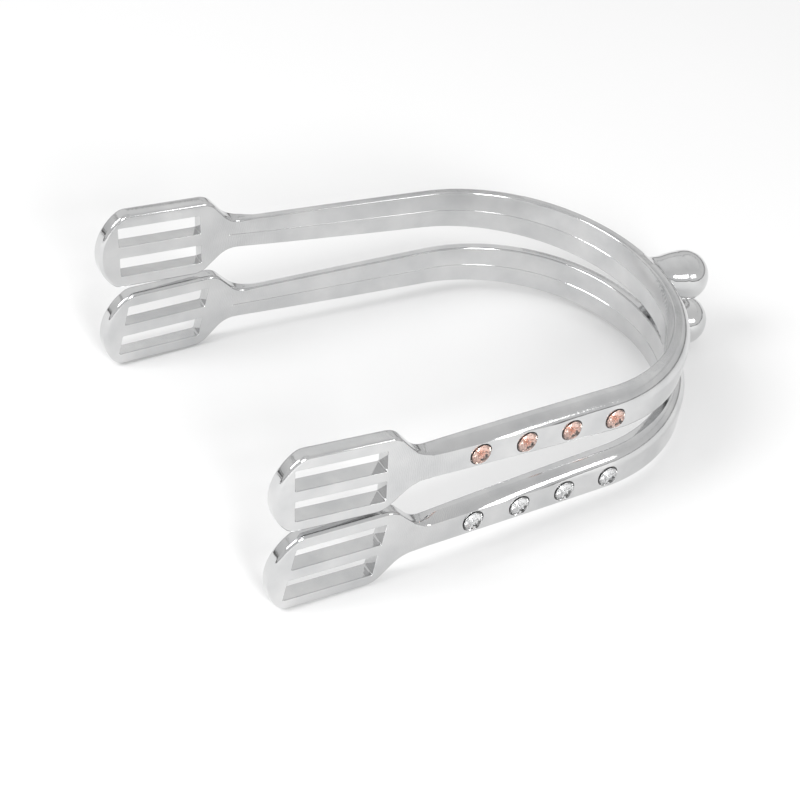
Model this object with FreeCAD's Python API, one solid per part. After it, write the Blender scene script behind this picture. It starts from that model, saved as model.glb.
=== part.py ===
import FreeCAD, Part
import math
import os

# A stacked pair of ball-end spurs, in millimetres.
#
# Each spur is drawn in its own frame: the origin is the centre of the heel curve on the middle plane,
# +X points to the ball, +Y to the far branch, -Y to the near branch, which carries the crystals.
# The lower spur then lies on the ground plane, z = 0, and the upper one lies on top of it.
# s is the distance along the middle of the band from the heel, the same on both branches.
# u is the distance from the middle of the strap slots towards the heel.
# t is the distance outwards from the middle of the band's thickness.

V = FreeCAD.Vector

# Plan of the band
HEEL_RADIUS = 38.2
BRANCH_SPLAY = 2.9          # degrees that each branch opens outwards towards its plate
BRANCH_RUN = 42.9
TOE_IN_BEND = 3.85          # degrees that the branch curves back in before its plate
TOE_IN_RADIUS = 147.0
SLOT_CENTRE_AHEAD = 11.4    # from the end of that bend to the middle of the slots

# Strap plate
PLATE_HALF_HEIGHT = 9.1
PLATE_TIP = 13.8            # from the middle of the slots to the rounded end
PLATE_THICKNESS = 3.3
PLATE_END_RADIUS = 11.0
PLATE_CORNER_RADIUS = 3.4
PLATE_EDGE = 0.75           # bevel all round the plate's rim
PLATE_JOIN = 7.5            # where the flat plate meets the swept neck
SHOULDER_CORNER = 10.6      # where the plate starts to narrow towards the neck
SHOULDER_ANGLE = 45.0       # degrees
SHOULDER_RADIUS = 4.2
NECK_FILLET = 6.0
NECK_FROM_SLOTS = 21.5      # from the middle of the slots to where the neck becomes the band

# Strap slots, measured at half the plate's thickness
SLOT_LENGTH = 19.0
SLOT_HEIGHT = 4.85
SLOT_DIVIDER = 2.75
SLOT_DRAFT = 3.5            # degrees on every wall, widest at the outer face

# Band section: values at the heel, where the heel curve ends, and at the neck of the plate
BAND_THICKNESS = (4.45, 3.9, 3.25)
BAND_HALF_HEIGHT = (4.6, 4.45, 3.6)
FACET_TOP = (1.3, 1.75, 2.4)
FACET_BOTTOM = (3.9, 3.75, 3.1)
TOP_BEVEL = (2.7, 2.35, 2.0)
BOTTOM_BEVEL = (0.8, 0.7, 0.55)
BEVEL_STEPS = 3             # flats across each rounded bevel
INNER_EDGE = 0.35           # small bevel along the inner edges of the band
INNER_RIDGE = 0.25          # how far the ridge along the inner face stands proud

# Neck and ball
BALL_RADIUS = 5.8
BALL_AHEAD = 49.4           # from the centre of the heel curve to the centre of the ball
BALL_DROP = 1.9
NECK_RADIUS = 3.95          # where the neck leaves the band
NECK_SWELL = 1.65           # how much its radius grows on the way to the ball,
NECK_SWELL_FROM = 0.5       # between these distances from the middle of the band
NECK_SWELL_TO = 10.5
NECK_BLEND = 5.0            # over this length the neck opens out sideways into the band,
NECK_SPREAD = 2.5           # by this much on each side
NECK_INTO_BALL = 0.7        # the neck ends this far before the centre of the ball
NECK_STATIONS = 7

# Crystals and their seats, in the near branch
CRYSTALS = 4
FIRST_CRYSTAL = 91.5        # s of the crystal nearest the plate
CRYSTAL_PITCH = 11.1
CRYSTAL_RAISE = 0.1         # above the middle of the outer facet
GIRDLE_RADIUS = 2.25
TABLE_RADIUS = 1.3
CROWN_HEIGHT = 0.85
PAVILION_DEPTH = 1.7
GIRDLE_PROUD = 0.2          # girdle above the facet
FACETS = 8
FOIL_THICKNESS = 0.1
SEAT_RADIUS = 2.36
SEAT_SHOULDER = 0.5         # depth of the seat's straight wall
SEAT_DEPTH = 2.15
SEAT_TIP_RADIUS = 0.5
FOIL_TRIM = 0.15            # the foil ends this far below the girdle
GLUE_SKIN = 0.15            # the glue ends this far below the facet

CUT_PAST = 1.0              # cutters run past the surface by this much

# Sections along the sweep
SHOULDER_STEP = 0.85
SHOULDER_STATIONS = 19
BRANCH_STATIONS = 6
HEEL_STATIONS = 8
BAND_SECTION_FROM = 5.0     # past the shoulder's corner, where the plate's bevels start to change
BAND_SECTION_TO = 12.5      # and where the band's own section is complete
TOUCH = 0.01                # points closer than this are the same point

# The slots and the outline of the plates lean along the branch by these slopes
RAKE = {
    "lower": {"slots": 0.155, "outline": 0.155},
    "upper": {"slots": -0.155, "outline": 0.0},
}

# The upper spur as it lies on the lower one
UPPER_YAW = 0.7
UPPER_PITCH = 4.05
UPPER_ROLL = 0.4
UPPER_SHIFT = V(-1.2, 0.8, 15.4)

HEEL_TURN = math.radians(90.0 - BRANCH_SPLAY)
HEEL_LENGTH = HEEL_RADIUS * HEEL_TURN
BEND_START = HEEL_LENGTH + BRANCH_RUN
BEND_END = BEND_START + TOE_IN_RADIUS * math.radians(TOE_IN_BEND)
SLOT_CENTRE = BEND_END + SLOT_CENTRE_AHEAD
NECK_START = SLOT_CENTRE - NECK_FROM_SLOTS


def station(s):
    """Point on the middle line of the far branch, and the angle of its outward normal."""
    turn = min(s, HEEL_LENGTH) / HEEL_RADIUS
    x = HEEL_RADIUS * math.cos(turn)
    y = HEEL_RADIUS * math.sin(turn)
    run = min(max(s - HEEL_LENGTH, 0.0), BRANCH_RUN)
    x -= run * math.sin(turn)
    y += run * math.cos(turn)
    bend = min(max(s - BEND_START, 0.0), BEND_END - BEND_START) / TOE_IN_RADIUS
    x -= TOE_IN_RADIUS * (math.cos(turn) - math.cos(turn + bend))
    y -= TOE_IN_RADIUS * (math.sin(turn) - math.sin(turn + bend))
    turn += bend
    ahead = max(s - BEND_END, 0.0)
    x -= ahead * math.sin(turn)
    y += ahead * math.cos(turn)
    return x, y, turn


def band_point(s, t, z, side):
    """Point at distance s along a branch, t outwards and z up. side is 1 far, -1 near."""
    x, y, turn = station(s)
    return V(x + t * math.cos(turn), side * (y + t * math.sin(turn)), z)


def outward(s, side):
    turn = station(s)[2]
    return V(math.cos(turn), side * math.sin(turn), 0)


def along(s, values):
    """Smooth value along the band through its values at the heel, the curve's end and the neck."""
    heel, middle, neck = values
    a = s / HEEL_LENGTH
    b = s / NECK_START
    c = NECK_START / HEEL_LENGTH
    at_heel = heel * (1 - a) * (1 - b)
    at_middle = middle * a * (1 - b) / (1 - 1 / c)
    at_neck = neck * b * (1 - a) / (1 - c)
    return at_heel + at_middle + at_neck


def smooth_step(value, start, end):
    x = min(max((value - start) / (end - start), 0.0), 1.0)
    return x * x * (3 - 2 * x)


def shoulder_height(u, neck_height):
    """Half height of the outline: the plate, a rounded shoulder, then the neck."""
    angle = math.radians(SHOULDER_ANGLE)
    foot = SHOULDER_CORNER + (PLATE_HALF_HEIGHT - neck_height) / math.tan(angle)
    lead = SHOULDER_RADIUS * math.tan(angle / 2)
    tail = NECK_FILLET * math.tan(angle / 2)
    if u < SHOULDER_CORNER - lead:
        return PLATE_HALF_HEIGHT
    if u < SHOULDER_CORNER + lead * math.cos(angle):
        from_start = u - SHOULDER_CORNER + lead
        return PLATE_HALF_HEIGHT - SHOULDER_RADIUS + math.sqrt(SHOULDER_RADIUS ** 2 - from_start ** 2)
    if u < foot - tail * math.cos(angle):
        return PLATE_HALF_HEIGHT - (u - SHOULDER_CORNER) * math.tan(angle)
    if u < foot + tail:
        return neck_height + NECK_FILLET - math.sqrt(NECK_FILLET ** 2 - (foot + tail - u) ** 2)
    return neck_height


def rounded(start, end, bulge):
    """Points between two corners of the section: a straight bevel, or an ellipse where bulge is 1."""
    points = []
    for i in range(1, BEVEL_STEPS):
        part = i / BEVEL_STEPS
        angle = math.radians(90 * part)
        across = (1 - part) + bulge * (math.cos(angle) - 1 + part)
        upwards = part + bulge * (math.sin(angle) - part)
        t = end[0] + (start[0] - end[0]) * across
        z = start[1] + (end[1] - start[1]) * upwards
        points.append((t, z))
    return points


def section(s, side, outline_rake):
    """Closed outline of the band at s: outer facet, rounded bevels, inner face with its ridge."""
    u = SLOT_CENTRE - s
    s_band = min(s, NECK_START)
    half_band = along(s_band, BAND_HALF_HEIGHT)
    lean = outline_rake * PLATE_HALF_HEIGHT
    top = shoulder_height(u - lean, half_band)
    bottom = shoulder_height(u + lean, half_band)
    band = smooth_step(u, SHOULDER_CORNER + BAND_SECTION_FROM, SHOULDER_CORNER + BAND_SECTION_TO)

    def mix(plate_value, band_value):
        return plate_value + (band_value - plate_value) * band

    half_t = mix(PLATE_THICKNESS, along(s_band, BAND_THICKNESS)) / 2
    inner_edge = mix(PLATE_EDGE, INNER_EDGE)
    facet_top = (half_t, mix(top - PLATE_EDGE, along(s_band, FACET_TOP)))
    top_edge = (half_t - mix(PLATE_EDGE, along(s_band, TOP_BEVEL)), top)
    facet_bottom = (half_t, -mix(bottom - PLATE_EDGE, along(s_band, FACET_BOTTOM)))
    bottom_edge = (half_t - mix(PLATE_EDGE, along(s_band, BOTTOM_BEVEL)), -bottom)
    corners = [facet_top]
    corners += rounded(facet_top, top_edge, band)
    corners += [top_edge, (inner_edge - half_t, top), (-half_t, top - inner_edge)]
    corners += [(-half_t - mix(0.0, INNER_RIDGE), 0.0)]
    corners += [(-half_t, inner_edge - bottom), (inner_edge - half_t, -bottom), bottom_edge]
    corners += reversed(rounded(facet_bottom, bottom_edge, band))
    corners += [facet_bottom]
    points = [band_point(s, t, z, side) for t, z in corners]
    return Part.makePolygon(points + points[:1])


def band_stations():
    """Distances s of the sections, close together where the shoulder bends."""
    join = SLOT_CENTRE - PLATE_JOIN
    shoulder = [join - SHOULDER_STEP * i for i in range(SHOULDER_STATIONS + 1)]
    start = shoulder[-1]
    branch = [start + (HEEL_LENGTH - start) * i / BRANCH_STATIONS for i in range(1, BRANCH_STATIONS + 1)]
    heel = [HEEL_LENGTH * (1 - i / HEEL_STATIONS) for i in range(1, HEEL_STATIONS + 1)]
    return shoulder + branch + heel


def swept_band(outline_rake):
    """The U-shaped band with both necks and shoulders, from plate to plate."""
    stations = band_stations()
    wires = [section(s, 1, outline_rake) for s in stations]
    wires += [section(s, -1, outline_rake) for s in reversed(stations[:-1])]
    return Part.makeLoft(wires, True, False)


def plate_point(u, z, t, side):
    return band_point(SLOT_CENTRE - u, t, z, side)


def plate(side, outline_rake):
    """Flat plate with a rounded end, bevelled all round, as far as the neck."""
    lean = outline_rake * PLATE_HALF_HEIGHT
    end_centre = PLATE_END_RADIUS - PLATE_TIP
    corner = end_centre - math.sqrt(PLATE_END_RADIUS ** 2 - PLATE_HALF_HEIGHT ** 2)
    t = -PLATE_THICKNESS / 2
    top_join = plate_point(PLATE_JOIN, PLATE_HALF_HEIGHT, t, side)
    top_corner = plate_point(corner + lean, PLATE_HALF_HEIGHT, t, side)
    tip = plate_point(-PLATE_TIP, 0, t, side)
    bottom_corner = plate_point(corner - lean, -PLATE_HALF_HEIGHT, t, side)
    bottom_join = plate_point(PLATE_JOIN, -PLATE_HALF_HEIGHT, t, side)
    outline = Part.Wire([
        Part.LineSegment(top_join, top_corner).toShape(),
        Part.Arc(top_corner, tip, bottom_corner).toShape(),
        Part.LineSegment(bottom_corner, bottom_join).toShape(),
        Part.LineSegment(bottom_join, top_join).toShape(),
    ])
    out = outward(SLOT_CENTRE, side)
    block = Part.Face(outline).extrude(out * PLATE_THICKNESS)
    corners = [edge for edge in block.Edges if runs_along(edge, out)
               and (starts_at(edge, top_corner) or starts_at(edge, bottom_corner))]
    block = block.makeFillet(PLATE_CORNER_RADIUS, corners)
    rim = [edge for edge in block.Edges if not runs_along(edge, out) and not at_join(edge, side)]
    return block.makeChamfer(PLATE_EDGE, rim)


def runs_along(edge, direction):
    """Whether an edge goes straight through the plate."""
    span = edge.Vertexes[-1].Point - edge.Vertexes[0].Point
    return abs(span.dot(direction)) > TOUCH


def starts_at(edge, point):
    return min(vertex.Point.distanceToPoint(point) for vertex in edge.Vertexes) < TOUCH


def at_join(edge, side):
    """Whether an edge lies in the plane where the plate meets the neck."""
    middle = (edge.Vertexes[0].Point + edge.Vertexes[-1].Point) / 2
    across = outward(SLOT_CENTRE, side).cross(V(0, 0, 1))
    return abs((middle - plate_point(PLATE_JOIN, 0, 0, side)).dot(across)) < TOUCH


def slot_cutter(side, level, rake):
    """Tapered cutter for one strap slot. level is 1 for the top slot, -1 for the bottom one."""
    middle = level * (SLOT_DIVIDER + SLOT_HEIGHT) / 2
    reach = PLATE_THICKNESS / 2 + CUT_PAST
    wires = []
    for t in (-reach, reach):
        grow = t * math.tan(math.radians(SLOT_DRAFT))
        half_length = SLOT_LENGTH / 2 + grow
        half_height = SLOT_HEIGHT / 2 + grow
        corners = []
        for du, dz in ((-1, -1), (1, -1), (1, 1), (-1, 1)):
            z = middle + dz * half_height
            corners.append(plate_point(du * half_length + rake * z, z, t, side))
        wires.append(Part.makePolygon(corners + corners[:1]))
    return Part.makeLoft(wires, True, True)


def neck():
    """Body from inside the heel of the band, where it is widest, to inside the ball."""
    direction = V(BALL_AHEAD - HEEL_RADIUS, 0, -BALL_DROP)
    end = direction.Length - NECK_INTO_BALL
    direction.normalize()
    turn = FreeCAD.Rotation(V(0, 1, 0), V(0, 0, 1), direction, "ZXY")
    wires = []
    for i in range(NECK_STATIONS + 1):
        ahead = end * i / NECK_STATIONS
        half_height = NECK_RADIUS + NECK_SWELL * smooth_step(ahead, NECK_SWELL_FROM, NECK_SWELL_TO)
        half_width = half_height + NECK_SPREAD * max(0.0, 1 - ahead / NECK_BLEND) ** 2
        outline = Part.Ellipse(V(0, 0, 0), half_width, half_height).toShape()
        outline.Placement = FreeCAD.Placement(V(HEEL_RADIUS, 0, 0) + direction * ahead, turn)
        wires.append(Part.Wire(outline))
    return Part.makeLoft(wires, True, False)


def ball():
    return Part.makeSphere(BALL_RADIUS, V(BALL_AHEAD, 0, -BALL_DROP))


def crystal_places():
    """Placement of each crystal on the outer facet, its own axis +Z pointing outwards."""
    places = []
    for i in range(CRYSTALS):
        s = FIRST_CRYSTAL - i * CRYSTAL_PITCH
        z = (along(s, FACET_TOP) - along(s, FACET_BOTTOM)) / 2 + CRYSTAL_RAISE
        point = band_point(s, along(s, BAND_THICKNESS) / 2, z, -1)
        places.append(FreeCAD.Placement(point, FreeCAD.Rotation(V(0, 0, 1), outward(s, -1))))
    return places


def ring(radius, z, half_step=0.0):
    """Corners of a level polygon with as many corners as the crystal has facets."""
    points = []
    for i in range(FACETS):
        angle = 2 * math.pi * (i + half_step) / FACETS
        points.append(V(radius * math.cos(angle), radius * math.sin(angle), z))
    return points


def closed_solid(faces):
    return Part.makeSolid(Part.makeShell(faces))


def polygon_face(points):
    return Part.Face(Part.makePolygon(list(points) + [points[0]]))


def pyramid(corners, tip):
    """Solid between a level polygon and a point."""
    faces = [polygon_face(corners)]
    for i in range(FACETS):
        faces.append(polygon_face([corners[(i + 1) % FACETS], corners[i], tip]))
    return closed_solid(faces)


def crystal():
    """Cut crystal, axis +Z, girdle at z = 0: table, crown facets, pavilion facets."""
    girdle = ring(GIRDLE_RADIUS, 0)
    table = ring(TABLE_RADIUS, CROWN_HEIGHT, 0.5)
    culet = V(0, 0, -PAVILION_DEPTH)
    faces = [polygon_face(table)]
    for i in range(FACETS):
        following = (i + 1) % FACETS
        faces.append(polygon_face([girdle[i], girdle[following], table[i]]))
        faces.append(polygon_face([girdle[following], table[following], table[i]]))
        faces.append(polygon_face([girdle[following], girdle[i], culet]))
    return closed_solid(faces)


def foil_block():
    """The pavilion grown by the foil's thickness, trimmed a little below the girdle."""
    slope = PAVILION_DEPTH / GIRDLE_RADIUS
    drop = FOIL_THICKNESS * math.sqrt(1 + slope * slope)
    radius = GIRDLE_RADIUS + (drop - FOIL_TRIM) / slope
    return pyramid(ring(radius, -FOIL_TRIM), V(0, 0, -PAVILION_DEPTH - drop))


def seat():
    """The drilled seat below the facet: a short straight wall, then a cone."""
    wall = Part.makeCylinder(SEAT_RADIUS, CUT_PAST + SEAT_SHOULDER, V(0, 0, -SEAT_SHOULDER))
    cone_depth = SEAT_DEPTH - SEAT_SHOULDER
    cone = Part.makeCone(SEAT_TIP_RADIUS, SEAT_RADIUS, cone_depth, V(0, 0, -SEAT_DEPTH))
    return wall.fuse(cone).removeSplitter()


def glue_bed(stone, foil):
    """Glue that fills the seat around the foil, up to just below the facet."""
    lid = Part.makeCylinder(SEAT_RADIUS + CUT_PAST, GLUE_SKIN + 2 * CUT_PAST, V(0, 0, -GLUE_SKIN))
    return seat().cut(lid).cut(foil).cut(stone)


def crystal_set():
    """One crystal, its foil and its glue, in the frame of its seat: z = 0 is the facet."""
    stone = crystal()
    foil = foil_block()
    lift = V(0, 0, GIRDLE_PROUD)
    stone.translate(lift)
    foil.translate(lift)
    glue = glue_bed(stone, foil)
    return {"crystal": stone, "foil": foil.cut(stone), "glue": glue}


def placed(shape, placement):
    """Copy of a shape moved by a placement."""
    copy = shape.copy()
    copy.Placement = placement.multiply(shape.Placement)
    return copy


def spur(name):
    """All pieces of one spur, in the spur's own frame."""
    rake = RAKE[name]
    yoke = swept_band(rake["outline"])
    for side in (1, -1):
        yoke = yoke.fuse(plate(side, rake["outline"]))
    yoke = yoke.fuse(neck()).fuse(ball()).removeSplitter()
    for side in (1, -1):
        for level in (1, -1):
            yoke = yoke.cut(slot_cutter(side, level, rake["slots"]))
    for place in crystal_places():
        yoke = yoke.cut(placed(seat(), place))
    pieces = {name + "_yoke": yoke}
    for number, place in enumerate(crystal_places(), 1):
        for kind, shape in crystal_set().items():
            pieces["%s_%s_%d" % (name, kind, number)] = placed(shape, place)
    return pieces


def lower_placement():
    """The lower spur lies on its two plates and its ball."""
    plate_x = plate_point(PLATE_JOIN, 0, 0, 1).x
    rise = PLATE_HALF_HEIGHT - BALL_DROP - BALL_RADIUS
    pitch = math.degrees(math.asin(rise / (BALL_AHEAD - plate_x)))
    tilt = FreeCAD.Rotation(0, pitch, 0)
    ball_centre = tilt.multVec(V(BALL_AHEAD, 0, -BALL_DROP))
    return FreeCAD.Placement(V(0, 0, BALL_RADIUS - ball_centre.z), tilt)


def all_placed(pieces, placement):
    return {name: placed(shape, placement) for name, shape in pieces.items()}


def assembly():
    lower = spur("lower")
    upper = spur("upper")
    on_ground = lower_placement()
    upper_rotation = FreeCAD.Rotation(UPPER_YAW, UPPER_PITCH, UPPER_ROLL)
    on_lower = on_ground.multiply(FreeCAD.Placement(UPPER_SHIFT, upper_rotation))
    pieces = all_placed(lower, on_ground)
    pieces.update(all_placed(upper, on_lower))
    box = FreeCAD.BoundBox()
    for shape in pieces.values():
        box.add(shape.optimalBoundingBox())
    centred = FreeCAD.Placement(V(-box.Center.x, -box.Center.y, 0), FreeCAD.Rotation())
    return all_placed(pieces, centred)


os.makedirs("parts", exist_ok=True)
for node, shape in assembly().items():
    print(node, "solids", len(shape.Solids), "valid", shape.isValid(), "volume %.2f" % shape.Volume)
    shape.Solids[0].exportStep("parts/%s.step" % node)
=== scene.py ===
import bmesh
import bpy
import math
from mathutils import Euler, Matrix, Vector
from mathutils.kdtree import KDTree


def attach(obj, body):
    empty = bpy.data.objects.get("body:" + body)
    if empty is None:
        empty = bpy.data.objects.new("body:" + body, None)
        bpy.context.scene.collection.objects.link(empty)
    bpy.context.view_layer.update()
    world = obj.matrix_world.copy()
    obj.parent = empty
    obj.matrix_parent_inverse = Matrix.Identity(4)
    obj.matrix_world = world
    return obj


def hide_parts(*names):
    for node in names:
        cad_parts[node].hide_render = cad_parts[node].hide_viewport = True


# A stacked pair of polished ball-end spurs. Each spur is built in millimetres, with its heel's centre
# at the origin, and its placement scales it to metres. s runs along the band from the heel, u from
# the middle of the slots towards the heel, t outwards through the band's thickness. side is 1 for
# the far branch and -1 for the near one.

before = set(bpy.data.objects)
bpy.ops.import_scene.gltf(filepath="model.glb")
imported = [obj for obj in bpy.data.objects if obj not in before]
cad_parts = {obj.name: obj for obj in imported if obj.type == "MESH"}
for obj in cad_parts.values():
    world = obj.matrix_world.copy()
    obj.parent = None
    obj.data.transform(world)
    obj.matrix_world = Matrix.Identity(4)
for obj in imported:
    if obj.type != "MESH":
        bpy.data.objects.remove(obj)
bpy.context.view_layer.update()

MM = 0.001

# Plan of the band
HEEL_RADIUS = 38.2
BRANCH_SPLAY = math.radians(2.9)
BRANCH_RUN = 42.9
TOE_IN_BEND = math.radians(3.85)
TOE_IN_RADIUS = 147.0
SLOT_CENTRE_AHEAD = 11.4

# Strap plate and slots
PLATE_HALF_HEIGHT = 9.1
PLATE_TIP = 13.8
PLATE_THICKNESS = 3.3
PLATE_END_RADIUS = 11.0
PLATE_CORNER_RADIUS = 3.4
PLATE_ROUND = 0.75
PLATE_REST = 7.5             # u of the place where the plate's underside rests
SHOULDER_CORNER = 10.6
SHOULDER_ANGLE = 45.0
SHOULDER_RADIUS = 4.2
NECK_FILLET = 6.0
NECK_FROM_SLOTS = 21.5
SLOT_LENGTH = 19.0
SLOT_HEIGHT = 4.85
SLOT_DIVIDER = 2.75
SLOT_DRAFT = math.radians(3.5)
SLOT_ROUND = 0.14
SLOT_CORNER = 0.35

# Band section: at the heel, where the heel curve ends, and at the neck of the plate
BAND_THICKNESS = (4.45, 3.9, 3.25)
BAND_HALF_HEIGHT = (4.6, 4.45, 3.6)
FACET_TOP = (1.3, 1.75, 2.4)
FACET_BOTTOM = (3.9, 3.75, 3.1)
TOP_BEVEL = (2.7, 2.35, 2.0)
BOTTOM_BEVEL = (0.8, 0.7, 0.55)
BEVEL_BULGE = (0.8, 0.6, 0.12)
INNER_EDGE = 0.35
INNER_RIDGE = 0.25
SEAM_WIDTH = 0.09
SEAM_DEPTH = 0.08
SEAM_START = 1.0
BAND_SECTION_FROM = 5.0
BAND_SECTION_TO = 12.5
PLATE_JOIN = SHOULDER_CORNER + BAND_SECTION_FROM

# How finely the mesh is divided: steps round a curve, and lengths of the steps along the band
BEVEL_STEPS = 10
EDGE_STEPS = 8
FACET_STEPS = 12
PLATE_CORNER_STEPS = 16
PLATE_END_STEPS = 28
SLOT_CORNER_STEPS = 6
SHOULDER_STEP = 0.25
BRANCH_STEP = 0.8
HEEL_STEP = 0.45
NECK_STEP = 0.2
BALL_TURN_STEP = 0.05
NECK_SIDES = 72
SEAT_SIDES = 64
WELD = 0.002

# Neck and ball
BALL_RADIUS = 5.8
BALL_AHEAD = 49.4
BALL_DROP = 1.9
NECK_RADIUS = 3.95
NECK_SWELL = 1.65
NECK_SWELL_FROM = 0.5
NECK_SWELL_TO = 10.5
NECK_BLEND = 5.0
NECK_SPREAD = 2.5
BALL_FILLET = 0.5
BALL_FROM = 0.8              # of the ball's radius: where the mesh's rings begin to follow the ball
JUNCTION_REACH = 1.8         # how far from the band's junction with the neck the mesh is relaxed
JUNCTION_CORE = 0.3          # of that reach: where it is relaxed fully
JUNCTION_RATE = 0.5
JUNCTION_ROUNDS = 30

# Crystals and their seats
CRYSTALS = 4
FIRST_CRYSTAL = 91.5
CRYSTAL_PITCH = 11.1
CRYSTAL_RAISE = 0.1
GIRDLE_RADIUS = 2.25
GIRDLE_PROUD = 0.2
SEAT_RADIUS = 2.36
SEAT_SHOULDER = 0.5
SEAT_DEPTH = 2.15
SEAT_TIP_RADIUS = 0.5
SEAT_CHAMFER = 0.1
SEAT_CLEAR = 1.0             # how far the tool that cuts a seat stands out of the facet

# The crystals' cut
CRYSTAL_SIDES = 8
TABLE_RADIUS = 1.28
TABLE_HEIGHT = 0.84
CROWN_RADIUS = 1.8
CROWN_HEIGHT = 0.5
GIRDLE_HALF_HEIGHT = 0.06
CULET_DEPTH = 1.62

# Material indices that mark the yoke's faces while it is being joined
BAND_PART, NECK_PART, SEAT_PART = range(3)

RAKE = {"lower": {"slots": 0.155, "outline": 0.155}, "upper": {"slots": -0.155, "outline": 0.0}}
UPPER_TURN = (0.4, 4.05, 0.7)     # degrees about X, Y and Z
UPPER_SHIFT = (-1.2, 0.8, 15.4)

HEEL_TURN = math.pi / 2 - BRANCH_SPLAY
HEEL_LENGTH = HEEL_RADIUS * HEEL_TURN
BEND_START = HEEL_LENGTH + BRANCH_RUN
BEND_END = BEND_START + TOE_IN_RADIUS * TOE_IN_BEND
SLOT_CENTRE = BEND_END + SLOT_CENTRE_AHEAD
NECK_START = SLOT_CENTRE - NECK_FROM_SLOTS


def station(s):
    """Point on the middle line of the far branch, and the angle of its outward normal."""
    turn = min(s, HEEL_LENGTH) / HEEL_RADIUS
    x = HEEL_RADIUS * math.cos(turn)
    y = HEEL_RADIUS * math.sin(turn)
    run = min(max(s - HEEL_LENGTH, 0.0), BRANCH_RUN)
    x -= run * math.sin(turn)
    y += run * math.cos(turn)
    bend = min(max(s - BEND_START, 0.0), BEND_END - BEND_START) / TOE_IN_RADIUS
    x -= TOE_IN_RADIUS * (math.cos(turn) - math.cos(turn + bend))
    y -= TOE_IN_RADIUS * (math.sin(turn) - math.sin(turn + bend))
    turn += bend
    ahead = max(s - BEND_END, 0.0)
    x -= ahead * math.sin(turn)
    y += ahead * math.cos(turn)
    return x, y, turn


def band_point(s, t, z, side):
    """Point at s along the band, t out from its middle line and z up."""
    x, y, turn = station(s)
    return Vector((x + t * math.cos(turn), side * (y + t * math.sin(turn)), z))


def plate_point(u, z, t, side):
    """Point on or in a strap plate."""
    return band_point(SLOT_CENTRE - u, t, z, side)


def along(s, values):
    """Smooth value along the band through its values at the heel, the curve's end and the neck."""
    heel, middle, neck = values
    a = s / HEEL_LENGTH
    b = s / NECK_START
    c = NECK_START / HEEL_LENGTH
    at_heel = heel * (1 - a) * (1 - b)
    at_middle = middle * a * (1 - b) / (1 - 1 / c)
    at_neck = neck * b * (1 - a) / (1 - c)
    return at_heel + at_middle + at_neck


def smooth_step(value, start, end):
    """0 up to start, 1 from end on, and smooth between them."""
    x = min(max((value - start) / (end - start), 0.0), 1.0)
    return x * x * (3 - 2 * x)


def shoulder_height(u, neck_height):
    """Half height of the outline: the plate, a rounded shoulder, then the neck."""
    angle = math.radians(SHOULDER_ANGLE)
    foot = SHOULDER_CORNER + (PLATE_HALF_HEIGHT - neck_height) / math.tan(angle)
    lead = SHOULDER_RADIUS * math.tan(angle / 2)
    tail = NECK_FILLET * math.tan(angle / 2)
    if u < SHOULDER_CORNER - lead:
        return PLATE_HALF_HEIGHT
    if u < SHOULDER_CORNER + lead * math.cos(angle):
        from_start = u - SHOULDER_CORNER + lead
        return PLATE_HALF_HEIGHT - SHOULDER_RADIUS + math.sqrt(SHOULDER_RADIUS ** 2 - from_start ** 2)
    if u < foot - tail * math.cos(angle):
        return PLATE_HALF_HEIGHT - (u - SHOULDER_CORNER) * math.tan(angle)
    if u < foot + tail:
        return neck_height + NECK_FILLET - math.sqrt(NECK_FILLET ** 2 - (foot + tail - u) ** 2)
    return neck_height


def mix(a, b, part):
    """a where part is 0, b where it is 1."""
    return a + (b - a) * part


def rounded(start, end, bulge, steps):
    """Points from start to end: a straight bevel where bulge is 0, an ellipse where it is 1."""
    points = []
    for i in range(steps + 1):
        part = i / steps
        angle = math.pi / 2 * part
        across = mix(1 - part, math.cos(angle), bulge)
        upwards = mix(part, math.sin(angle), bulge)
        points.append((mix(end[0], start[0], across), mix(start[1], end[1], upwards)))
    return points


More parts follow.
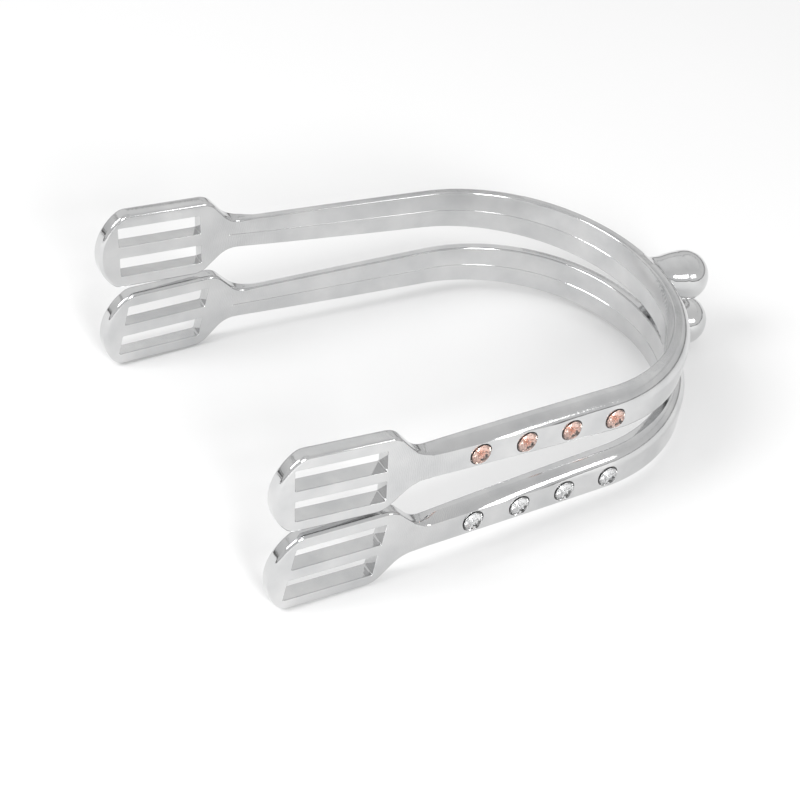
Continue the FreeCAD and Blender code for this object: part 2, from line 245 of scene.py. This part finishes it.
def section(s, side, outline_rake):
    """Closed outline of the band at s, from the top of the outer facet over the top and round."""
    u = SLOT_CENTRE - s
    s_band = min(s, NECK_START)
    half_band = along(s_band, BAND_HALF_HEIGHT)
    lean = outline_rake * PLATE_HALF_HEIGHT
    top = shoulder_height(u - lean, half_band)
    bottom = shoulder_height(u + lean, half_band)
    band = smooth_step(u, SHOULDER_CORNER + BAND_SECTION_FROM, SHOULDER_CORNER + BAND_SECTION_TO)
    half_t = mix(PLATE_THICKNESS, along(s_band, BAND_THICKNESS), band) / 2
    inner = mix(PLATE_ROUND, INNER_EDGE, band)
    bulge = mix(1.0, along(s_band, BEVEL_BULGE), band)
    top_bevel = mix(PLATE_ROUND, along(s_band, TOP_BEVEL), band)
    bottom_bevel = mix(PLATE_ROUND, along(s_band, BOTTOM_BEVEL), band)
    facet_top = mix(top - PLATE_ROUND, along(s_band, FACET_TOP), band)
    facet_bottom = mix(bottom - PLATE_ROUND, along(s_band, FACET_BOTTOM), band)
    ridge = mix(0.0, INNER_RIDGE, band)
    seam = SEAM_DEPTH * smooth_step(u, PLATE_JOIN, PLATE_JOIN + SEAM_START)
    outline = rounded((half_t, facet_top), (half_t - top_bevel, top), bulge, BEVEL_STEPS)
    outline += reversed(rounded((-half_t, top - inner), (inner - half_t, top), 1.0, EDGE_STEPS))
    crest = -half_t - ridge
    outline += [(crest, SEAM_WIDTH), (crest + seam, 0.0), (crest, -SEAM_WIDTH)]
    outline += rounded((-half_t, inner - bottom), (inner - half_t, -bottom), 1.0, EDGE_STEPS)
    bottom_edge = (half_t - bottom_bevel, -bottom)
    outline += reversed(rounded((half_t, -facet_bottom), bottom_edge, bulge, BEVEL_STEPS))
    for i in range(1, FACET_STEPS):
        outline.append((half_t, mix(-facet_bottom, facet_top, i / FACET_STEPS)))
    return [band_point(s, t, z, side) for t, z in outline]


def spaced(start, end, step):
    """Evenly spaced values from start to end, without the end, about one step apart."""
    count = max(1, round(abs(end - start) / step))
    return [mix(start, end, i / count) for i in range(count)]


def band_sections(outline_rake):
    """All sections from the far plate's join round the heel to the near plate's join."""
    join = SLOT_CENTRE - PLATE_JOIN
    distances = spaced(join, NECK_START, SHOULDER_STEP)
    distances += spaced(NECK_START, HEEL_LENGTH, BRANCH_STEP)
    distances += spaced(HEEL_LENGTH, 0.0, HEEL_STEP)
    rings = [section(s, 1, outline_rake) for s in distances]
    rings.append(section(0.0, 1, outline_rake))
    rings += [section(s, -1, outline_rake) for s in reversed(distances)]
    return rings


def plate_outline(lean):
    """Points (u, z) round the plate's free end, top join to bottom join, and their outward directions."""
    start = PLATE_END_RADIUS - PLATE_TIP
    corner = start - math.sqrt(PLATE_END_RADIUS ** 2 - PLATE_HALF_HEIGHT ** 2)
    centre, radius = circle_through((corner + lean, PLATE_HALF_HEIGHT), (-PLATE_TIP, 0.0),
                                    (corner - lean, -PLATE_HALF_HEIGHT))
    fillets = []
    for sign in (1, -1):
        z = sign * (PLATE_HALF_HEIGHT - PLATE_CORNER_RADIUS)
        reach = math.sqrt((radius - PLATE_CORNER_RADIUS) ** 2 - (z - centre[1]) ** 2)
        fillets.append((centre[0] - reach, z))
    points = []
    for u in spaced(PLATE_JOIN, fillets[0][0], SHOULDER_STEP):
        points.append(((u, shoulder_height(u - lean, BAND_HALF_HEIGHT[2])), (0.0, 1.0)))
    top_angle = math.atan2(fillets[0][1] - centre[1], fillets[0][0] - centre[0])
    bottom_angle = math.atan2(fillets[1][1] - centre[1], fillets[1][0] - centre[0]) + 2 * math.pi
    arcs = [
        (fillets[0], PLATE_CORNER_RADIUS, math.pi / 2, top_angle, PLATE_CORNER_STEPS),
        (centre, radius, top_angle, bottom_angle, PLATE_END_STEPS),
        (fillets[1], PLATE_CORNER_RADIUS, bottom_angle, 3 * math.pi / 2, PLATE_CORNER_STEPS),
    ]
    for middle, r, first, last, count in arcs:
        for i in range(count):
            angle = mix(first, last, i / count)
            way = (math.cos(angle), math.sin(angle))
            points.append(((middle[0] + r * way[0], middle[1] + r * way[1]), way))
    for u in reversed(spaced(PLATE_JOIN, fillets[1][0], SHOULDER_STEP) + [fillets[1][0]]):
        points.append(((u, -shoulder_height(u + lean, BAND_HALF_HEIGHT[2])), (0.0, -1.0)))
    return points


def circle_through(a, b, c):
    """Centre and radius of the circle through three points."""
    ax, ay = a
    bx, by = b
    cx, cy = c
    d = 2 * (ax * (by - cy) + bx * (cy - ay) + cx * (ay - by))
    a_square = ax ** 2 + ay ** 2
    b_square = bx ** 2 + by ** 2
    c_square = cx ** 2 + cy ** 2
    x = (a_square * (by - cy) + b_square * (cy - ay) + c_square * (ay - by)) / d
    y = (a_square * (cx - bx) + b_square * (ax - cx) + c_square * (bx - ax)) / d
    return (x, y), math.hypot(ax - x, ay - y)


def slot_loop(level, rake, grow):
    """Points (u, z) round one slot, its corners slightly rounded, grown by that much."""
    middle = level * (SLOT_DIVIDER + SLOT_HEIGHT) / 2
    corners = []
    for du, dz in ((-1, -1), (1, -1), (1, 1), (-1, 1)):
        z = middle + dz * (SLOT_HEIGHT / 2 + grow)
        corners.append(Vector((du * (SLOT_LENGTH / 2 + grow) + rake * z, z)))
    points = []
    for i, corner in enumerate(corners):
        before = corner + (corners[i - 1] - corner).normalized() * SLOT_CORNER
        after = corner + (corners[(i + 1) % 4] - corner).normalized() * SLOT_CORNER
        for k in range(SLOT_CORNER_STEPS + 1):
            part = k / SLOT_CORNER_STEPS
            points.append(before * (1 - part) ** 2 + corner * 2 * part * (1 - part) + after * part ** 2)
    return points


def slot_profile():
    """Pairs (t, grow) through one slot from the outer face to the inner face."""
    half = PLATE_THICKNESS / 2
    draft = math.tan(SLOT_DRAFT)
    pairs = []
    for k in range(SLOT_CORNER_STEPS + 1):
        angle = math.pi / 2 * k / SLOT_CORNER_STEPS
        t = half - SLOT_ROUND * (1 - math.cos(angle))
        pairs.append((t, t * draft + SLOT_ROUND * (1 - math.sin(angle))))
    for k in range(SLOT_CORNER_STEPS + 1):
        angle = math.pi / 2 * (SLOT_CORNER_STEPS - k) / SLOT_CORNER_STEPS
        t = SLOT_ROUND * (1 - math.cos(angle)) - half
        pairs.append((t, t * draft + SLOT_ROUND * (1 - math.sin(angle))))
    return pairs


def add_grid(bm, columns, closed=False):
    """Quads between neighbouring columns of points. closed joins each column's ends."""
    rows = [[bm.verts.new(p) for p in column] for column in columns]
    last = len(rows[0]) if closed else len(rows[0]) - 1
    for a, b in zip(rows, rows[1:]):
        for k in range(last):
            following = (k + 1) % len(a)
            bm.faces.new((a[k], a[following], b[following], b[k]))


def add_flat(bm, loops, to_point):
    """Flat face with holes; loops are lists of (u, z), the outside first."""
    edges = []
    for loop in loops:
        ring = [bm.verts.new(to_point(p[0], p[1])) for p in loop]
        edges += [bm.edges.new((ring[i - 1], ring[i])) for i in range(len(ring))]
    bmesh.ops.triangle_fill(bm, edges=edges, use_beauty=True, use_dissolve=False)


def add_plate(bm, side, rakes):
    """The flat strap plate with its rounded rim and its two drafted slots."""
    outline = plate_outline(rakes["outline"] * PLATE_HALF_HEIGHT)
    half = PLATE_THICKNESS / 2
    rim = rounded((half, PLATE_ROUND), (half - PLATE_ROUND, 0.0), 1.0, BEVEL_STEPS)
    rim += reversed(rounded((-half, PLATE_ROUND), (PLATE_ROUND - half, 0.0), 1.0, EDGE_STEPS))
    columns = []
    for (u, z), way in outline:
        column = [plate_point(u - way[0] * inset, z - way[1] * inset, t, side) for t, inset in rim]
        columns.append(column)
    add_grid(bm, columns)
    edge = [(u - way[0] * PLATE_ROUND, z - way[1] * PLATE_ROUND) for (u, z), way in outline]
    outer_join = []
    for i in range(1, FACET_STEPS):
        outer_join.append((PLATE_JOIN, mix(edge[-1][1], edge[0][1], i / FACET_STEPS)))
    slots = []
    for level in (1, -1):
        loops = [(t, slot_loop(level, rakes["slots"], grow)) for t, grow in slot_profile()]
        slots.append(loops)
        walls = [[plate_point(u, z, t, side) for u, z in loop] for t, loop in loops]
        add_grid(bm, walls, closed=True)
    outer_holes = [loops[0][1] for loops in slots]
    inner_holes = [loops[-1][1] for loops in slots]
    add_flat(bm, [edge + outer_join] + outer_holes, lambda u, z: plate_point(u, z, half, side))
    inner_join = [(PLATE_JOIN, z) for z in (-SEAM_WIDTH, 0.0, SEAM_WIDTH)]
    add_flat(bm, [edge + inner_join] + inner_holes, lambda u, z: plate_point(u, z, -half, side))


def revolved(bm, profile, steps, to_point, part):
    """Closed body turned about an axis; profile is a list of (distance along the axis, radius).

    part is the material index that marks its faces."""
    first, last = [bm.verts.new(to_point(end[0], 0.0, 0.0)) for end in (profile[0], profile[-1])]
    rows = []
    for along_axis, radius in profile[1:-1]:
        row = []
        for k in range(steps):
            angle = 2 * math.pi * k / steps
            place = to_point(along_axis, radius * math.cos(angle), radius * math.sin(angle))
            row.append(bm.verts.new(place))
        rows.append(row)
    faces = []
    for k in range(steps):
        following = (k + 1) % steps
        faces.append(bm.faces.new((first, rows[0][k], rows[0][following])))
        faces.append(bm.faces.new((last, rows[-1][following], rows[-1][k])))
        for a, b in zip(rows, rows[1:]):
            faces.append(bm.faces.new((a[k], b[k], b[following], a[following])))
    for face in faces:
        face.material_index = part
    bmesh.ops.recalc_face_normals(bm, faces=bm.faces)


def new_mesh(name, bm):
    """A new object in the scene from a finished bmesh."""
    mesh = bpy.data.meshes.new(name)
    bm.to_mesh(mesh)
    bm.free()
    piece = bpy.data.objects.new(name, mesh)
    bpy.context.scene.collection.objects.link(piece)
    return piece


def band_and_plates(rakes):
    """The band and both strap plates as one closed surface."""
    bm = bmesh.new()
    add_grid(bm, band_sections(rakes["outline"]), closed=True)
    for side in (1, -1):
        add_plate(bm, side, rakes)
    bmesh.ops.remove_doubles(bm, verts=bm.verts, dist=WELD)
    bmesh.ops.recalc_face_normals(bm, faces=bm.faces)
    return bm


def neck_and_ball():
    """Neck that opens out towards the band, blended into the ball, along one sloping axis."""
    start = Vector((HEEL_RADIUS, 0.0, 0.0))
    direction = Vector((BALL_AHEAD - HEEL_RADIUS, 0.0, -BALL_DROP))
    length = direction.length
    direction.normalize()
    up = direction.cross(Vector((0.0, -1.0, 0.0)))
    profile = [(0.0, 0.0)]
    profile += [(ahead, 1.0) for ahead in spaced(0.0, length - BALL_RADIUS * BALL_FROM, NECK_STEP)]
    for angle in spaced(math.acos(BALL_FROM), math.pi, BALL_TURN_STEP):
        profile.append((length - BALL_RADIUS * math.cos(angle), 1.0))
    profile.append((length + BALL_RADIUS, 0.0))

    def to_point(ahead, across, upwards):
        in_ball = math.sqrt(max(0.0, BALL_RADIUS ** 2 - (ahead - length) ** 2))
        half_height = in_ball
        if ahead < length:
            swell = NECK_SWELL * smooth_step(ahead, NECK_SWELL_FROM, NECK_SWELL_TO)
            half_height = smooth_larger(NECK_RADIUS + swell, in_ball)
        half_width = half_height + NECK_SPREAD * max(0.0, 1 - ahead / NECK_BLEND) ** 2
        sideways = Vector((0.0, across * half_width, 0.0))
        return start + direction * ahead + sideways + up * upwards * half_height

    bm = bmesh.new()
    revolved(bm, profile, NECK_SIDES, to_point, NECK_PART)
    return bm


def smooth_larger(a, b):
    """The larger of two sizes, with a fillet where they are nearly equal."""
    part = min(max(0.5 + 0.5 * (b - a) / BALL_FILLET, 0.0), 1.0)
    return mix(a, b, part) + BALL_FILLET * part * (1 - part) / 2


def crystal_places():
    """Centre on the outer facet and outward direction of each crystal."""
    places = []
    for i in range(CRYSTALS):
        s = FIRST_CRYSTAL - i * CRYSTAL_PITCH
        z = (along(s, FACET_TOP) - along(s, FACET_BOTTOM)) / 2 + CRYSTAL_RAISE
        turn = station(s)[2]
        outward = Vector((math.cos(turn), -math.sin(turn), 0.0))
        places.append((band_point(s, along(s, BAND_THICKNESS) / 2, z, -1), outward))
    return places


def seat_cutters():
    """The seats: a chamfered mouth, a short wall and a cone."""
    bm = bmesh.new()
    profile = [
        (SEAT_CLEAR, 0.0),
        (SEAT_CLEAR, SEAT_RADIUS + SEAT_CHAMFER + SEAT_CLEAR),
        (-SEAT_CHAMFER, SEAT_RADIUS),
        (-SEAT_SHOULDER, SEAT_RADIUS),
        (-SEAT_DEPTH, SEAT_TIP_RADIUS),
        (-SEAT_DEPTH, 0.0),
    ]
    for centre, outward in crystal_places():
        across = outward.cross(Vector((0.0, 0.0, 1.0)))

        def to_point(ahead, sideways, upwards):
            return centre + outward * ahead + across * sideways + Vector((0.0, 0.0, upwards))

        revolved(bm, profile, SEAT_SIDES, to_point, SEAT_PART)
    return bm


def boolean(piece, tool, operation):
    """Joins the tool to the piece or cuts it out, and removes the tool."""
    modifier = piece.modifiers.new("boolean", "BOOLEAN")
    modifier.object = tool
    modifier.operation = operation
    modifier.solver = "EXACT"
    graph = bpy.context.evaluated_depsgraph_get()
    result = bpy.data.meshes.new_from_object(piece.evaluated_get(graph))
    piece.modifiers.clear()
    old = piece.data
    piece.data = result
    bpy.data.meshes.remove(old)
    bpy.data.objects.remove(tool)


def soften_junction(piece):
    """Relaxes the mesh near the line where the neck meets the band, so that it becomes a fillet."""
    bm = bmesh.new()
    bm.from_mesh(piece.data)
    bmesh.ops.triangulate(bm, faces=[f for f in bm.faces if len(f.verts) > 4])
    line = [v for v in bm.verts if len({f.material_index for f in v.link_faces}) > 1]
    tree = KDTree(len(line))
    for i, vert in enumerate(line):
        tree.insert(vert.co, i)
    tree.balance()
    weights = {}
    for vert in bm.verts:
        distance = tree.find(vert.co)[2]
        if distance is not None and distance < JUNCTION_REACH:
            weights[vert] = 1 - smooth_step(distance, JUNCTION_CORE * JUNCTION_REACH, JUNCTION_REACH)
    for _ in range(JUNCTION_ROUNDS):
        moved = {}
        for vert, weight in weights.items():
            around = [e.other_vert(vert).co for e in vert.link_edges]
            mean = sum(around, Vector()) / len(around)
            moved[vert] = vert.co.lerp(mean, JUNCTION_RATE * weight)
        for vert, place in moved.items():
            vert.co = place
    bm.to_mesh(piece.data)
    bm.free()


def steel_mesh(name, bm):
    """A mesh object with an empty material slot for each marked part of the yoke."""
    piece = new_mesh(name, bm)
    for _ in (BAND_PART, NECK_PART, SEAT_PART):
        piece.data.materials.append(None)
    return piece


def make_yoke(name):
    """One spur's casting: band and plates, neck and ball, and the crystals' seats."""
    piece = steel_mesh(name + "_yoke_chrome", band_and_plates(RAKE[name]))
    boolean(piece, steel_mesh("ball_tool", neck_and_ball()), "UNION")
    soften_junction(piece)
    boolean(piece, steel_mesh("seat_tool", seat_cutters()), "DIFFERENCE")
    return piece


# Materials

# The buffing marks: where along X they are strongest, how far they reach, how deep and how dark they
# are, and the centre of their arcs, in metres
BUFFED_X = -0.034
BUFFED_REACH = 0.014
BUFFED_BUMP = 0.1
BUFFED_DEPTH = 0.00003
BUFFED_SHADE = 0.88
SWIRL_CENTRE = (-0.070, 0.0, 0.020)

CRYSTAL_IOR = 1.56


def new_material(name):
    """A new material with its nodes, links and shader."""
    material = bpy.data.materials.new(name)
    material.use_nodes = True
    nodes = material.node_tree.nodes
    shader = nodes["Principled BSDF"]
    return material, nodes, material.node_tree.links, shader


def object_noise(nodes, links, scale, detail):
    """Noise fixed to the object."""
    coordinates = nodes.new("ShaderNodeTexCoord")
    noise = nodes.new("ShaderNodeTexNoise")
    noise.inputs["Scale"].default_value = scale
    noise.inputs["Detail"].default_value = detail
    links.new(coordinates.outputs["Object"], noise.inputs["Vector"])
    return noise


def ramp(nodes, links, source, stops):
    """Colour ramp over source; stops are pairs (position, colour)."""
    node = nodes.new("ShaderNodeValToRGB")
    elements = node.color_ramp.elements
    while len(elements) < len(stops):
        elements.new(0.5)
    for element, (position, colour) in zip(elements, stops):
        element.position = position
        element.color = colour
    links.new(source, node.inputs["Fac"])
    return node


def grey(value):
    return (value, value, value, 1.0)


def polished_steel():
    """Bright steel with a cloudy polish, and fine curved buffing marks where plates meet the band."""
    material, nodes, links, shader = new_material("polished_steel")
    shader.inputs["Metallic"].default_value = 1.0
    cloud = object_noise(nodes, links, 140.0, 5.0)
    shades = ((0.3, (0.57, 0.575, 0.58, 1.0)), (0.7, grey(0.68)))
    colour = ramp(nodes, links, cloud.outputs["Fac"], shades)
    haze = object_noise(nodes, links, 260.0, 3.0)
    rough = ramp(nodes, links, haze.outputs["Fac"], ((0.3, grey(0.05)), (0.75, grey(0.12))))
    links.new(rough.outputs["Color"], shader.inputs["Roughness"])

    coordinates = nodes.new("ShaderNodeTexCoord")
    position = nodes.new("ShaderNodeSeparateXYZ")
    links.new(coordinates.outputs["Object"], position.inputs["Vector"])
    from_middle = nodes.new("ShaderNodeMath")
    from_middle.operation = "SUBTRACT"
    from_middle.inputs[1].default_value = BUFFED_X
    links.new(position.outputs["X"], from_middle.inputs[0])
    distance = nodes.new("ShaderNodeMath")
    distance.operation = "ABSOLUTE"
    links.new(from_middle.outputs["Value"], distance.inputs[0])
    buffed = nodes.new("ShaderNodeMapRange")
    buffed.inputs["From Min"].default_value = BUFFED_REACH
    buffed.inputs["From Max"].default_value = 0.0
    links.new(distance.outputs["Value"], buffed.inputs["Value"])

    arcs = nodes.new("ShaderNodeTexWave")
    arcs.wave_type = "RINGS"
    arcs.rings_direction = "Y"
    arcs.inputs["Scale"].default_value = 800.0
    arcs.inputs["Distortion"].default_value = 5.0
    arcs.inputs["Detail"].default_value = 3.0
    arcs.inputs["Detail Scale"].default_value = 1.5
    from_swirl = nodes.new("ShaderNodeMapping")
    from_swirl.inputs["Location"].default_value = [-value for value in SWIRL_CENTRE]
    links.new(coordinates.outputs["Object"], from_swirl.inputs["Vector"])
    links.new(from_swirl.outputs["Vector"], arcs.inputs["Vector"])
    bump = nodes.new("ShaderNodeBump")
    bump.inputs["Distance"].default_value = BUFFED_DEPTH
    bump.inputs["Strength"].default_value = BUFFED_BUMP
    links.new(arcs.outputs["Fac"], bump.inputs["Height"])
    links.new(bump.outputs["Normal"], shader.inputs["Normal"])

    mark = ramp(nodes, links, arcs.outputs["Fac"], ((0.2, grey(BUFFED_SHADE)), (0.8, grey(1.0))))
    marked = nodes.new("ShaderNodeMix")
    marked.data_type = "RGBA"
    marked.blend_type = "MULTIPLY"
    links.new(buffed.outputs["Result"], marked.inputs["Factor"])
    links.new(colour.outputs["Color"], marked.inputs["A"])
    links.new(mark.outputs["Color"], marked.inputs["B"])
    links.new(marked.outputs["Result"], shader.inputs["Base Color"])
    return material


def cut_crystal(name, pale, deep):
    """Clear glass with a tint that drifts from pale to deep across each stone."""
    material, nodes, links, shader = new_material(name)
    shader.inputs["Transmission Weight"].default_value = 1.0
    shader.inputs["Roughness"].default_value = 0.02
    shader.inputs["IOR"].default_value = CRYSTAL_IOR
    tint = object_noise(nodes, links, 500.0, 2.0)
    colour = ramp(nodes, links, tint.outputs["Fac"], ((0.35, pale), (0.65, deep)))
    links.new(colour.outputs["Color"], shader.inputs["Base Color"])
    return material


def mirror_foil():
    """Bright, slightly wrinkled metal foil."""
    material, nodes, links, shader = new_material("mirror_foil")
    shader.inputs["Metallic"].default_value = 1.0
    shader.inputs["Roughness"].default_value = 0.08
    wrinkle = object_noise(nodes, links, 800.0, 2.0)
    colour = ramp(nodes, links, wrinkle.outputs["Fac"], ((0.3, grey(0.8)), (0.7, grey(0.92))))
    links.new(colour.outputs["Color"], shader.inputs["Base Color"])
    return material


def glue_in_painted_shade():
    """Clear glue painted nearly black: painted shade for the depth of its seat."""
    material, nodes, links, shader = new_material("glue_in_painted_shade")
    grain = object_noise(nodes, links, 1500.0, 3.0)
    colour = ramp(nodes, links, grain.outputs["Fac"], ((0.3, grey(0.012)), (0.7, grey(0.04))))
    links.new(colour.outputs["Color"], shader.inputs["Base Color"])
    rough = ramp(nodes, links, grain.outputs["Fac"], ((0.3, grey(0.3)), (0.7, grey(0.5))))
    links.new(rough.outputs["Color"], shader.inputs["Roughness"])
    return material


def pale_floor():
    """Plain, nearly white paper."""
    material, nodes, links, shader = new_material("pale_floor")
    shader.inputs["Roughness"].default_value = 0.6
    shader.inputs["Specular IOR Level"].default_value = 0.2
    cloud = object_noise(nodes, links, 4.0, 2.0)
    colour = ramp(nodes, links, cloud.outputs["Fac"], ((0.3, grey(0.81)), (0.7, grey(0.83))))
    links.new(colour.outputs["Color"], shader.inputs["Base Color"])
    return material


steel = polished_steel()
foil = mirror_foil()
# The glue's near-black colour is painted shade, not the glue's own colour.
glue = glue_in_painted_shade()
crystal = {
    "lower": cut_crystal("clear_crystal", (0.93, 0.94, 0.95, 1.0), (1.0, 1.0, 1.0, 1.0)),
    "upper": cut_crystal("peach_crystal", (0.98, 0.60, 0.48, 1.0), (1.0, 0.76, 0.68, 1.0)),
}


# Crystals

def facet_ring(bm, count, radius, z, first=0.0):
    """Corners evenly round the stone's axis. first is the first corner's place, in corners."""
    ring = []
    for k in range(count):
        angle = 2 * math.pi * (k + first) / count
        ring.append(bm.verts.new((radius * math.cos(angle), radius * math.sin(angle), z)))
    return ring


def crystal_piece(name, placement):
    """A round brilliant: table, star, crown and girdle facets, then the pavilion down to the culet."""
    bm = bmesh.new()
    girdle_sides = 2 * CRYSTAL_SIDES
    table = facet_ring(bm, CRYSTAL_SIDES, TABLE_RADIUS, TABLE_HEIGHT, 0.5)
    crown = facet_ring(bm, CRYSTAL_SIDES, CROWN_RADIUS, CROWN_HEIGHT)
    top = facet_ring(bm, girdle_sides, GIRDLE_RADIUS, GIRDLE_HALF_HEIGHT)
    bottom = facet_ring(bm, girdle_sides, GIRDLE_RADIUS, -GIRDLE_HALF_HEIGHT)
    culet = bm.verts.new((0.0, 0.0, -CULET_DEPTH))
    bm.faces.new(table)
    for k in range(CRYSTAL_SIDES):
        following = (k + 1) % CRYSTAL_SIDES
        bm.faces.new((table[k], table[k - 1], crown[k]))
        bm.faces.new((table[k], crown[k], top[2 * k + 1]))
        bm.faces.new((table[k], top[2 * k + 1], crown[following]))
        bm.faces.new((crown[k], top[2 * k], top[2 * k + 1]))
        bm.faces.new((crown[k], top[2 * k - 1], top[2 * k]))
        bm.faces.new((bottom[2 * k], bottom[2 * k + 1], culet))
        bm.faces.new((bottom[2 * k + 1], bottom[(2 * k + 2) % girdle_sides], culet))
    for k in range(girdle_sides):
        following = (k + 1) % girdle_sides
        bm.faces.new((top[k], top[following], bottom[following], bottom[k]))
    bmesh.ops.recalc_face_normals(bm, faces=bm.faces)
    piece = new_mesh(name, bm)
    piece.data.transform(placement)
    return piece


SHARP_ANGLE = math.radians(17)     # edges that turn more than this keep their crease
WIDE_FACE_WEIGHT = 80              # how much wide faces pull the shading to themselves


def finish_steel(piece):
    """Gives the yoke its steel and smooths its shading up to the creases."""
    for index in range(len(piece.data.materials)):
        piece.data.materials[index] = steel
    piece.data.shade_smooth()
    piece.data.set_sharp_from_angle(angle=SHARP_ANGLE)
    weighted = piece.modifiers.new("weighted normals", "WEIGHTED_NORMAL")
    weighted.keep_sharp = True
    weighted.weight = WIDE_FACE_WEIGHT


# The two spurs in place. The lower spur rests on its ball and on the undersides of its plates, and
# the pair's footprint is centred on the origin.

rest_height = PLATE_HALF_HEIGHT - BALL_DROP - BALL_RADIUS
rest_length = BALL_AHEAD - plate_point(PLATE_REST, 0, 0, 1).x
PITCH = math.asin(rest_height / rest_length)
LOWER_ORIGIN = Vector((11.031, 0.127, 8.364))
on_ground = Matrix.Translation(LOWER_ORIGIN) @ Matrix.Rotation(PITCH, 4, "Y")
upper_turn = Euler([math.radians(a) for a in UPPER_TURN], "XYZ").to_matrix().to_4x4()
on_lower = on_ground @ Matrix.Translation(Vector(UPPER_SHIFT)) @ upper_turn

for name, in_place in (("lower", on_ground), ("upper", on_lower)):
    body = name + "_spur"
    placement = Matrix.Scale(MM, 4) @ in_place
    yoke = make_yoke(name)
    finish_steel(yoke)
    yoke.data.transform(placement)
    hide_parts(name + "_yoke")
    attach(yoke, body)
    for number, (centre, outward) in enumerate(crystal_places(), 1):
        turn = outward.to_track_quat("Z", "Y").to_matrix().to_4x4()
        seat = placement @ Matrix.Translation(centre + outward * GIRDLE_PROUD) @ turn
        stone = crystal_piece("%s_stone_%d" % (name, number), seat)
        stone.data.materials.append(crystal[name])
        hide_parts("%s_crystal_%d" % (name, number))
        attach(stone, body)
        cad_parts["%s_foil_%d" % (name, number)].material_slots[0].material = foil
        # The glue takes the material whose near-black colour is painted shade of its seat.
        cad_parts["%s_glue_%d" % (name, number)].material_slots[0].material = glue


# Studio

FLOOR_HALF = 3.0
FLOOR_GAP = 0.0002
LIGHT_AIM = Vector((0.0, 0.0, 0.01))

# Brightness of the room by height above the horizon, 0 at the horizon and 1 overhead
NEAR_ROOM = (
    (0.0, grey(0.08)),
    (0.045, grey(0.1)),
    (0.065, grey(0.85)),
    (0.4, grey(0.8)),
    (0.8, grey(0.78)),
    (1.0, grey(0.9)),
)
FAR_ROOM = (
    (0.0, grey(0.12)),
    (0.06, grey(0.15)),
    (0.14, grey(0.75)),
    (0.47, grey(0.9)),
    (0.50, grey(0.35)),
    (0.53, grey(0.95)),
    (0.74, grey(0.95)),
    (0.93, grey(0.9)),
    (0.955, grey(0.1)),
    (0.97, grey(0.1)),
    (0.98, grey(0.9)),
)
ROOM_LIGHT = 0.92
ROOM_UNEVENNESS = 0.05


def studio_floor():
    """A wide flat floor just under the lower spur."""
    bm = bmesh.new()
    bmesh.ops.create_grid(bm, x_segments=8, y_segments=8, size=FLOOR_HALF)
    floor = new_mesh("floor", bm)
    floor.location.z = -FLOOR_GAP
    floor.data.materials.append(pale_floor())


def studio_world():
    """Pale room with a dark horizon and, on the far side, dark bands higher up, all slightly uneven."""
    world = bpy.data.worlds.new("studio")
    world.use_nodes = True
    nodes = world.node_tree.nodes
    links = world.node_tree.links
    direction = nodes.new("ShaderNodeTexCoord")
    axes = nodes.new("ShaderNodeSeparateXYZ")
    links.new(direction.outputs["Generated"], axes.inputs["Vector"])
    clutter = nodes.new("ShaderNodeTexNoise")
    clutter.inputs["Scale"].default_value = 9.0
    clutter.inputs["Detail"].default_value = 3.0
    links.new(direction.outputs["Generated"], clutter.inputs["Vector"])
    height = nodes.new("ShaderNodeMath")
    height.operation = "MULTIPLY_ADD"
    height.inputs[1].default_value = ROOM_UNEVENNESS
    links.new(clutter.outputs["Fac"], height.inputs[0])
    links.new(axes.outputs["Z"], height.inputs[2])
    near = ramp(nodes, links, height.outputs["Value"], NEAR_ROOM)
    far = ramp(nodes, links, height.outputs["Value"], FAR_ROOM)
    depth = nodes.new("ShaderNodeMapRange")
    depth.inputs["From Min"].default_value = -0.5
    depth.inputs["From Max"].default_value = 0.3
    links.new(axes.outputs["Y"], depth.inputs["Value"])
    room = nodes.new("ShaderNodeMix")
    room.data_type = "RGBA"
    links.new(depth.outputs["Result"], room.inputs["Factor"])
    links.new(near.outputs["Color"], room.inputs["A"])
    links.new(far.outputs["Color"], room.inputs["B"])
    links.new(room.outputs["Result"], nodes["Background"].inputs["Color"])
    nodes["Background"].inputs["Strength"].default_value = ROOM_LIGHT
    return world


def soft_light(name, place, size, power):
    """Square soft light of that size in metres and power in watts, aimed at the spurs."""
    data = bpy.data.lights.new(name, "AREA")
    data.size = size
    data.energy = power
    light = bpy.data.objects.new(name, data)
    bpy.context.scene.collection.objects.link(light)
    light.location = place
    light.rotation_euler = (LIGHT_AIM - Vector(place)).to_track_quat("-Z", "Y").to_euler()


studio_floor()
bpy.context.scene.world = studio_world()
soft_light("key", (-0.15, -0.76, 0.43), 0.25, 4.2)
soft_light("side", (-0.7, 0.1, 0.65), 0.4, 4.2)
soft_light("glint", (0.40, -0.63, 0.28), 0.14, 0.5)

CAMERA_PLACE = (-0.1873, -0.26195, 0.26247)
CAMERA_TURN = (50.471, -5.61, -28.944)     # degrees about X, Y and Z
CAMERA_LENS = 85.78

camera_data = bpy.data.cameras.new("camera")
camera_data.sensor_width = 36.0
camera_data.lens = CAMERA_LENS
camera_data.clip_start = 0.01
camera = bpy.data.objects.new("camera", camera_data)
bpy.context.scene.collection.objects.link(camera)
camera.location = CAMERA_PLACE
camera.rotation_euler = Euler([math.radians(a) for a in CAMERA_TURN], "XYZ")
bpy.context.scene.camera = camera
bpy.context.scene.view_settings.view_transform = "Standard"

bpy.context.view_layer.update()
